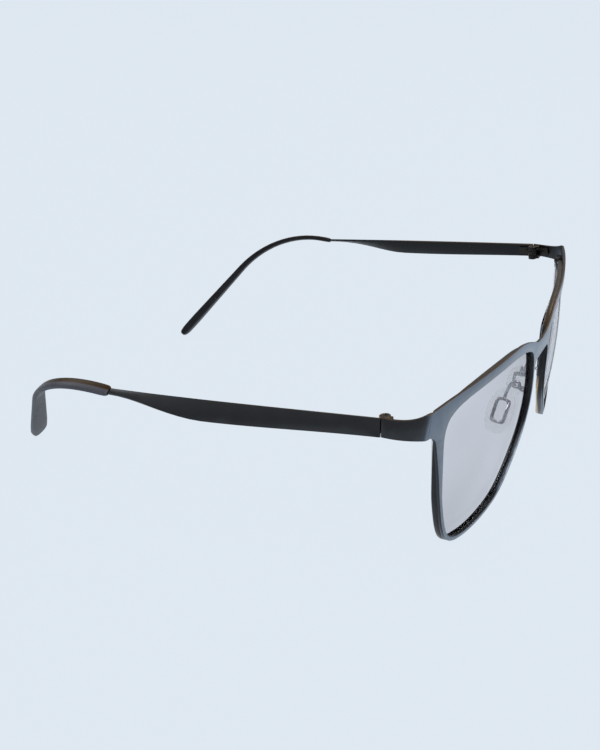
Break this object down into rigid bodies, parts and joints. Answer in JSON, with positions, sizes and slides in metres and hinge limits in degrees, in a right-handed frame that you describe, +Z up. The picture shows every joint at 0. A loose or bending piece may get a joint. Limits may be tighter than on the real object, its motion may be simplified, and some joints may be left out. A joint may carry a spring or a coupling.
{
  "type": "eyeglasses",
  "caption": "Square eyeglasses with a bent sheet metal brow front, rims behind it, clear lenses, wire nose pads and folding flat metal temples with moulded tips.",
  "frame": {"origin": "middle of the bounding box at the level that the rims and the temple tips stand on", "axes": "+X to the wearer's left, +Y from the lenses back along the temples, +Z up"},
  "size_m": [0.145, 0.1422, 0.0438],
  "materials": {
    "satin_sheet": "satin gunmetal",
    "rim_wire": "satin black",
    "clear_lens": "clear, coated",
    "dark_brass": "bronzed",
    "screw_steel": "turned",
    "bright_wire": "bright drawn wire",
    "soft_pad": "clear soft silicone",
    "tip_plastic": "dark moulded"
  },
  "bodies": {
    "front": {"front_plate": "satin_sheet", "right_eyewire": "rim_wire", "left_eyewire": "rim_wire", "right_lens": "clear_lens", "left_lens": "clear_lens", "right_upper_lock_block": "dark_brass", "left_upper_lock_block": "dark_brass", "right_lower_lock_block": "dark_brass", "left_lower_lock_block": "dark_brass", "right_lock_screw": "screw_steel", "left_lock_screw": "screw_steel", "right_pad_arm": "bright_wire", "left_pad_arm": "bright_wire", "right_nose_pad": "soft_pad", "left_nose_pad": "soft_pad", "right_front_hinge": "dark_brass", "left_front_hinge": "dark_brass", "right_hinge_screw": "screw_steel", "left_hinge_screw": "screw_steel"},
    "right_temple_arm": {"right_temple": "satin_sheet", "right_temple_hinge": "dark_brass", "right_temple_tip": "tip_plastic"},
    "left_temple_arm": {"left_temple": "satin_sheet", "left_temple_hinge": "dark_brass", "left_temple_tip": "tip_plastic"}
  },
  "joints": [
    {"name": "right_temple_fold", "type": "hinge", "parent": "front", "child": "right_temple_arm", "pos_m": [-0.06823, -0.05088, 0.04188], "axis": [0, -0.09, -0.9959], "range_deg": [0, 62]},
    {"name": "left_temple_fold", "type": "hinge", "parent": "front", "child": "left_temple_arm", "pos_m": [0.06823, -0.05088, 0.04188], "axis": [0, 0.09, 0.9959], "range_deg": [0, 78]}
  ]
}
